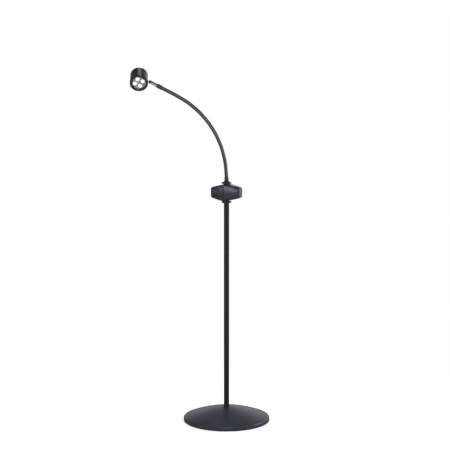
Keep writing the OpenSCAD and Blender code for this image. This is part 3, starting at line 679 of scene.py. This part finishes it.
def block(low, high):
    """A box between two corners in millimetres."""
    bm = bmesh.new()
    low, high = Vector(low)*MM, Vector(high)*MM
    place = Matrix.Translation((low + high)/2) @ Matrix.Diagonal((*(high - low), 1))
    bmesh.ops.create_cube(bm, size=1, matrix=place)
    return bm


def rod(radius, start, end, steps=48):
    """A round bar between two heights on Z, in millimetres."""
    bm = bmesh.new()
    place = Matrix.Translation((0, 0, (start + end)/2*MM))
    bmesh.ops.create_cone(bm, cap_ends=True, segments=steps, radius1=radius*MM, radius2=radius*MM,
                          depth=(end - start)*MM, matrix=place)
    return bm


def worked(bm, operation, *tools):
    """The mesh after the tools are cut out of it, joined to it or met with it."""
    held = [loose(bm)] + [loose(tool) for tool in tools]
    for tool in held[1:]:
        boolean = held[0].modifiers.new("work", "BOOLEAN")
        boolean.operation = operation
        boolean.object = tool
        boolean.solver = "EXACT"
    bpy.context.view_layer.update()
    evaluated = held[0].evaluated_get(bpy.context.evaluated_depsgraph_get())
    done = bpy.data.meshes.new_from_object(evaluated)
    result = bmesh.new()
    result.from_mesh(done)
    bpy.data.meshes.remove(done)
    for item in held:
        mesh = item.data
        bpy.data.objects.remove(item)
        bpy.data.meshes.remove(mesh)
    tidy(result, CUT_SPOT)
    return result


def loose(bm):
    mesh = bpy.data.meshes.new("loose")
    bm.to_mesh(mesh)
    bm.free()
    made = bpy.data.objects.new("loose", mesh)
    bpy.context.scene.collection.objects.link(made)
    return made


def collar_hole():
    return rod(COLLAR_HOLE, HOUSING_Z - HOLE_REACH, HOUSING_Z + HOLE_REACH, 64)


def screw_place(y, z):
    return axes(Vector((0, y*MM, (HOUSING_Z + z)*MM)), -UP, Vector((0, 1, 0)), Vector((1, 0, 0)))


def left_shell(finish):
    """Open for the switch, with sunk screw places at its end."""
    opening = moved(block(*SWITCH_OPENING), SWITCH_PLACE)
    sinks = [moved(rod(SINK_RADIUS, *SINK_ENDS), screw_place(y, z))
             for y in (-SCREW_Y, SCREW_Y) for z in (-SCREW_Z, SCREW_Z)]
    bm = worked(mirrored(half_housing()), "DIFFERENCE", collar_hole(), opening, *sinks)
    many_sided = [face for face in bm.faces if len(face.verts) > 4]
    bmesh.ops.triangulate(bm, faces=many_sided, ngon_method="BEAUTY")
    piece("housing_left", bm, finish, "stand", ["shell_left"], crease=SEAM_TURN)


def right_shell(finish):
    """Its underside is let in around the supply inlet."""
    low, high = (corner/MM for corner in (Vector(end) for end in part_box("power_inlet")))
    gap, wall, lip, below = 0.1, 2, 1.5, 30
    boss = block((low.x - gap - wall, low.y - gap - wall, low.z - below),
                 (high.x + gap + wall, high.y + gap + wall, low.z + lip + 2*wall))
    pocket = block((low.x - gap, low.y - gap, low.z - below),
                   (high.x + gap, high.y + gap, low.z + lip))
    room = block((low.x + wall, low.y + wall, low.z), (high.x - wall, high.y - wall, high.z + gap))
    boss = worked(half_housing(hollow=False), "INTERSECT", boss)
    bm = worked(half_housing(), "UNION", boss)
    bm = worked(bm, "DIFFERENCE", collar_hole(), pocket, room)
    piece("housing_right", bm, finish, "stand", ["shell_right"],
          crease=SEAM_TURN, broken=0.35)


# Switch, in its own place: X across, Y into the housing and Z up

PANEL = (-16, -2, -17.4), (16, 0, 17.4)
PANEL_CORNER = 3
PANEL_EDGE = 0.7
SWITCH_BODY = (-10, -1, -15.4), (10, 17, 15.4)
SWITCH_WELL = (-7.7, -4, -13.1), (7.7, 14.7, 13.1)
ROCKER_SIDE = [(-8, -11.5), (-6, 0), (-8, 11.5), (-2, 11.5), (3, 5), (3, -5), (-2, -11.5)]
ROCKER_WIDTH = 15
ROCKER_EDGE = 0.8


def switch_panel(finish):
    """A panel with a rounded edge, whose body behind it holds the rocker's well."""
    bm = block(*PANEL)
    depths = [edge for edge in bm.edges if abs(edge.verts[0].co.y - edge.verts[1].co.y) > MM]
    soften(bm, depths, PANEL_CORNER, 5)
    front = min(bm.faces, key=lambda face: face.calc_center_median().y)
    soften(bm, front.edges[:], PANEL_EDGE, 3)
    bm = worked(worked(bm, "UNION", block(*SWITCH_BODY)), "DIFFERENCE", block(*SWITCH_WELL))
    piece("switch_panel_plate", moved(bm, SWITCH_PLACE), finish, "stand",
          ["switch_frame"], broken=0.25)


def rocker(finish):
    """Two dished halves that meet in a shallow valley, tipped to its resting side."""
    bm = bmesh.new()
    bm.faces.new([bm.verts.new((-ROCKER_WIDTH/2*MM, y*MM, z*MM)) for y, z in ROCKER_SIDE])
    pulled = bmesh.ops.extrude_face_region(bm, geom=bm.faces[:])["geom"]
    far = [item for item in pulled if isinstance(item, bmesh.types.BMVert)]
    bmesh.ops.translate(bm, vec=(ROCKER_WIDTH*MM, 0, 0), verts=far)
    tidy(bm)
    soften(bm, corners(bm, 25), ROCKER_EDGE, 3)
    tipped = PIVOT_PLACE @ Matrix.Rotation(radians(-ROCKER_REST), 4, "X")
    piece("rocker_key", moved(bm, tipped), finish, "switch_rocker", ["rocker"])


# Screws

FLAT = radians(0.4)
LEVEL = 1e-5


def islands(bm):
    """The mesh's separate bodies, each as a list of points."""
    reached, found = set(), []
    for start in bm.verts:
        if start in reached:
            continue
        body = [start]
        reached.add(start)
        for vert in body:
            for near in (edge.other_vert(vert) for edge in vert.link_edges):
                if near not in reached:
                    reached.add(near)
                    body.append(near)
        found.append(body)
    return found


def socket_screws(name, node, way, width, deep, finish, body):
    """The node's own screws, each with a hexagon socket in its head's outer end."""
    bm = bmesh.new()
    bm.from_mesh(frame["nodes"][node].data)
    tidy(bm, 2*SAME_SPOT)
    bmesh.ops.dissolve_limit(bm, angle_limit=FLAT, verts=bm.verts, edges=bm.edges)
    turn = way.to_track_quat("Z", "Y").to_matrix()
    sockets = []
    for points in islands(bm):
        top = max(point.co.dot(way) for point in points)
        crown = [point.co for point in points if point.co.dot(way) > top - LEVEL]
        place = turn.to_4x4()
        place.translation = sum(crown, Vector())/len(crown)
        sockets.append(moved(rod(width/sqrt(3), -deep, 1, 6), place))
    bm = worked(bm, "DIFFERENCE", *sockets)
    made = piece(name, bm, finish, body, [node], crease=28, broken=0.15)
    # The normals that came with the node's mesh no longer fit it.
    if "custom_normal" in made.data.attributes:
        made.data.attributes.remove(made.data.attributes["custom_normal"])


# Neck

TURNS = 16
NECK_RADIUS = 7.5
BEND_REACH = 20
FOOT_REACH = 21.5
STEM_REACHES = (10, 19.5)
SLEEVE_STEPS = 14
SLEEVE_SIDES = 48


def neck_sleeves(finish):
    """One smooth sleeve, in lengths that each bend over one turn of the neck. It curves over the
    turns in the neck's plane and runs straight over those to the side between them."""
    by_child = {joint["child"]: joint for joint in frame["joints"]}
    turns = [by_child[f"neck_{i + 1:02d}"] for i in range(TURNS)]
    points = [Vector(joint["pos_m"]) for joint in turns]
    across = Vector(turns[0]["axis"]).normalized()
    knees = points[::2] + points[-1:]
    ways = [UP] + [(b - a).normalized() for a, b in zip(knees, knees[1:])] + [STEM_WAY]
    ends = []
    for knee, way, onward in zip(knees, ways, ways[1:]):
        ends += [knee - way*BEND_REACH*MM, knee + onward*BEND_REACH*MM]
    ends[0] = knees[0] - UP*FOOT_REACH*MM
    del ends[-2]
    travelled = 0
    for i, (joint, before, after) in enumerate(zip(turns, ends, ends[1:])):
        last = i == TURNS - 1
        bend = points[i] if i % 2 == 0 or last else (before + after)/2
        stations = [curve_place(before, bend, after, across, step/SLEEVE_STEPS)
                    for step in range(SLEEVE_STEPS + 1)]
        if last:
            stations += [Matrix.Translation(STEM_WAY*reach*MM) @ stations[-1]
                         for reach in STEM_REACHES]
        bm, travelled = sleeve(stations, NECK_RADIUS*MM, travelled)
        nodes = [f"neck_link_{i + 1:02d}"] + (["neck_foot"] if i == 0 else [])
        made = piece(f"neck_sleeve_{i + 1:02d}", bm, finish, None, nodes)
        before if i else bend - Vector((0, 0, 8*MM))
        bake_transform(made)


def curve_place(before, bend, after, across, share):
    """Where a sleeve's ring stands, that share of the way round one bend."""
    point = before*(1 - share)**2 + bend*(2*share*(1 - share)) + after*share**2
    way = ((bend - before)*(1 - share) + (after - bend)*share).normalized()
    return axes(point, across, way.cross(across), way)


def sleeve(stations, radius, travelled):
    """A closed tube through the stations. Its points keep how far along the neck they are."""
    bm = bmesh.new()
    along = bm.verts.layers.float.new("along")
    ring = bmesh.ops.create_circle(bm, cap_ends=False, segments=SLEEVE_SIDES, radius=radius,
                                   matrix=stations[0])["verts"]
    for vert in ring:
        vert[along] = travelled
    edges = bm.edges[:]
    for here, there in zip(stations, stations[1:]):
        travelled += (there.translation - here.translation).length
        fresh = bmesh.ops.extrude_edge_only(bm, edges=edges)["geom"]
        edges = [item for item in fresh if isinstance(item, bmesh.types.BMEdge)]
        ring = [item for item in fresh if isinstance(item, bmesh.types.BMVert)]
        edges = [edge for edge in edges if edge.verts[0] in ring and edge.verts[1] in ring]
        bmesh.ops.transform(bm, matrix=there @ here.inverted(), verts=ring)
        for vert in ring:
            vert[along] = travelled
    bmesh.ops.holes_fill(bm, edges=[edge for edge in bm.edges if edge.is_boundary], sides=0)
    tidy(bm)
    return bm, travelled


# Stem and head

STEM_RADIUS = 6.75
STEM_ENDS = (-33.97, -7.12)
SPIGOT_RADIUS = 4.4
SPIGOT_END = -36
BARREL_RADIUS = 36
BARREL_BORE = 33
BARREL_ENDS = (8, 64)
BEZEL_RADIUS = 37.25
BEZEL_WINDOW = 28
BEZEL_BACK = 8
BEZEL_LEDGE = 3
BEZEL_SPIGOT = (30.6, 32.95)
BEZEL_SPIGOT_END = 14
GLASS_RADIUS = 30.4
GLASS_FACES = (3.05, 5.5)
EMITTERS = 4
EMITTER_TURN = 50
EMITTER_OUT = 16.5
LENS_RADIUS = 9.9
LENS_OUTLINE = [(0, 20.3), (2.8, 20.3), (2.8, 21.5), (4.5, 21.5, 0.2), (9.5, 10.5),
                (LENS_RADIUS, 10.4), (LENS_RADIUS, 8.6, 0.3), (0, 6.7, 0, 1.0)]


def stem(finish):
    near, far = STEM_ENDS
    outline = [(0, SPIGOT_END), (SPIGOT_RADIUS, SPIGOT_END), (SPIGOT_RADIUS, near),
               (STEM_RADIUS, near, 0.4), (STEM_RADIUS, far, 0.15), (0, far)]
    bm = moved(lathe(outline, 64), STEM_PLACE)
    piece("stem_bright", bm, finish, "stem", ["stem"])


def head_barrel(finish):
    front, back = BARREL_ENDS
    outline = [(BARREL_BORE, front), (BARREL_RADIUS, front, 0.4),
               (BARREL_RADIUS, back, 0.3), (BARREL_BORE, back)]
    bm = moved(lathe(outline, 128), HEAD_PLACE)
    piece("head_barrel_tube", bm, finish, "head", ["head_barrel"])


def bezel(finish):
    """A ring with a spigot that sits in the barrel and a ledge that the glass lies on."""
    inside, outside = BEZEL_SPIGOT
    outline = [(BEZEL_WINDOW, BEZEL_LEDGE), (BEZEL_WINDOW, 0, 0.8), (BEZEL_RADIUS, 0, 2.5),
               (BEZEL_RADIUS, BEZEL_BACK, 0.8), (outside, BEZEL_BACK),
               (outside, BEZEL_SPIGOT_END, 0.3), (inside, BEZEL_SPIGOT_END), (inside, BEZEL_LEDGE)]
    bm = moved(lathe(outline, 128, 5), HEAD_PLACE)
    piece("bezel_ring", bm, finish, "head", ["bezel"])


def glass(finish):
    front, back = GLASS_FACES
    outline = [(0, front), (GLASS_RADIUS, front, 0.3), (GLASS_RADIUS, back, 0.3), (0, back)]
    bm = moved(lathe(outline, 96, 2), HEAD_PLACE)
    piece("front_glass_pane", bm, finish, "head", ["front_glass"])


def emitter_places():
    out = Matrix.Translation((EMITTER_OUT*MM, 0, 0))
    return [HEAD_PLACE @ Matrix.Rotation(radians(EMITTER_TURN + 360/EMITTERS*i), 4, "Z") @ out
            for i in range(EMITTERS)]


def lenses(finish):
    """Each lens has a domed front over a cone that narrows to its emitter."""
    parts = []
    for place in emitter_places():
        part = lathe(LENS_OUTLINE, 48, 2, 8)
        middle = part.verts.layers.float.new("middle")
        for vert in part.verts:
            vert[middle] = 1 - hypot(vert.co.x, vert.co.y)/(LENS_RADIUS*MM)
        parts.append(moved(part, place))
    piece("lens_domes", joined(*parts), finish, "head", ["lenses"])


# All pieces

def main_pieces():
    base_cover(base_coat())
    base_pad(pad_rubber())
    collar = collar_coat()
    foot_ring(collar)
    pole(pole_coat())
    plastic = housing_plastic()
    left_shell(plastic)
    right_shell(plastic)
    keys = switch_plastic()
    switch_panel(keys)
    rocker(keys)
    neck_sleeves(neck_sleeve())
    chrome = bright_chrome()
    stem(chrome)
    black = black_anodised()
    head_barrel(black)
    bezel(black)
    glass(front_glass())
    lenses(lens_acrylic())
    steel = steel_hardware()
    left, backwards, rear = Vector((-1, 0, 0)), Vector((0, 1, 0)), HEAD_PLACE.to_3x3().col[2]
    socket_screws("shell_screws_socketed", "shell_screws", left, 2.5, 1.8, steel, "stand")
    socket_screws("cap_screws_socketed", "rear_cap_screws", rear, 2.5, 1.2, steel, "head")
    socket_screws("grub_screw_socketed", "collar_grub_screw", backwards, 2, 1.6, steel, "stand")
    dress(collar, "lower_collar", "upper_collar")
    dress(ferrule_coat(), "neck_ferrule", "end_ferrule")
    dress(chrome, "ball_stud")
    dress(socket_black(), "ball_socket")
    dress(black, "rear_cap")
    dress(steel, "base_bolt", "base_washer", "pole_plug", "inlet_pins", "swivel_clip", "stud_nut")
    dress(cast_weight(), "base_weight")
    dress(hub_alloy(), "hub")
    dress(board_laminate(), "power_board")
    dress(transformer_tape(), "transformer")
    dress(capacitor_sleeve(), "capacitors")
    dress(inlet_plastic(), "power_inlet")
    dress(seat_nylon(), "ball_seat")
    dress(seal_rubber(), "glass_seal")
    dress(lens_holder(), "lens_plate")
    dress(emitter_board(), "emitter_board")
    dress(emitter_phosphor(), "emitters")
    dress(heat_sink_alloy(), "heat_sink")


# Stage

WHITE = (1, 1, 1, 1)
BLACK = (0, 0, 0, 1)
PAPER = (0.86, 0.86, 0.86, 1)
DIM_PAPER = (0.26, 0.26, 0.26, 1)
FLOOR_RADIUS = 90
FLOOR_DROP = 0.0002
SKY_BEHIND = (0.1, 0.995, 0)
FLOOR_BEHIND = (0.29, 0.957, 0)
FLOOR_AHEAD = (0.29, -0.957, 0)


def white_world():
    """White where it is looked at. What the pieces mirror is white low down behind, and dimmer
    overhead and in front."""
    world = bpy.data.worlds.new("white_room")
    bpy.context.scene.world = world
    tree = Tree(world)
    way = tree.node("ShaderNodeTexCoord", output="Generated")
    height = tree.along(way, (0, 0, 1))
    low = tree.between(height, 0.75, 0.25)*tree.between(height, 0.0, 0.16)
    overhead = tree.between(height, 0.45, 0.85)
    behind = tree.between(tree.along(way, SKY_BEHIND), 0.5, 0.95)
    path = tree.paths()
    seen = path["Is Camera Ray"] + path["Is Transmission Ray"]
    gleam = path["Is Glossy Ray"]*(low*behind*0.95 + 0.15 - overhead*0.1)
    strength = seen + gleam + path["Is Diffuse Ray"]*0.5
    sky = tree.node("ShaderNodeBackground", {}, {"Color": WHITE, "Strength": strength})
    tree.surface(sky, kind="ShaderNodeOutputWorld")


def floor_white():
    """White paper that catches a soft shadow around the base and runs out to white further off.
    What the pieces mirror of it is dim around the base, lighter ahead and white far behind."""
    tree = Tree(bpy.data.materials.new("floor_white"))
    path = tree.paths()
    off = tree.node("ShaderNodeVectorMath", {"operation": "LENGTH"}, {0: tree.place()}, "Value")
    far = tree.between(off, 0.3, 1.6)
    ahead = tree.between(tree.along(tree.place(), FLOOR_AHEAD), 0.3, 1.3)
    beyond = tree.between(tree.along(tree.place(), FLOOR_BEHIND), 1.5, 5.0)
    seen = path["Is Camera Ray"] + path["Is Transmission Ray"]
    looked_at = seen + path["Is Glossy Ray"]*(beyond*0.8 + 0.1)
    shade = tree.blend(path["Is Glossy Ray"]*(1 - ahead*0.7), PAPER, DIM_PAPER)
    paper = tree.node("ShaderNodeBsdfDiffuse", {}, {"Color": tree.blend(seen*far, shade, BLACK)})
    glow = tree.node("ShaderNodeEmission", {},
                     {"Color": WHITE, "Strength": looked_at*(far*0.6 + 0.4)})
    return tree.surface(tree.node("ShaderNodeAddShader", {}, {0: paper, 1: glow}))


def floor():
    bm = bmesh.new()
    bmesh.ops.create_circle(bm, cap_ends=True, segments=96, radius=FLOOR_RADIUS)
    bmesh.ops.translate(bm, verts=bm.verts, vec=(0, 0, -FLOOR_DROP))
    mesh = bpy.data.meshes.new("floor")
    bm.to_mesh(mesh)
    bm.free()
    mesh.materials.append(floor_white())
    made = bpy.data.objects.new("floor", mesh)
    bpy.context.scene.collection.objects.link(made)


def softbox(name, place, aim, size, power):
    """A lamp of that size in metres and power in watts, turned towards its aim."""
    data = bpy.data.lights.new(name, "AREA")
    data.shape = "RECTANGLE"
    data.size, data.size_y = size
    data.energy = power
    lamp = bpy.data.objects.new(name, data)
    lamp.location = place
    lamp.rotation_euler = (Vector(aim) - Vector(place)).to_track_quat("-Z", "Y").to_euler()
    bpy.context.scene.collection.objects.link(lamp)


def studio():
    bpy.context.scene.view_settings.view_transform = "Standard"
    white_world()
    floor()
    softbox("front_softbox", (2.12, -4.75, 2.12), (0, 0, 1.0), (0.7, 0.5), 75)
    softbox("key_softbox", (0.55, -2.9, 3.3), (0, 0, 1.0), (0.8, 1.0), 22)
    softbox("fill_softbox", (-2.4, -1.85, 1.42), (0, 0, 0.9), (0.8, 0.8), 12)
    softbox("side_softbox", (2.6, 1.2, 1.4), (0, 0, 0.6), (1.0, 1.8), 46)
    softbox("top_softbox", (-0.55, 0.9, 3.3), (-0.3, -0.1, 1.4), (0.7, 0.9), 5.5)


main_pieces()
studio()
bpy.context.view_layer.update()
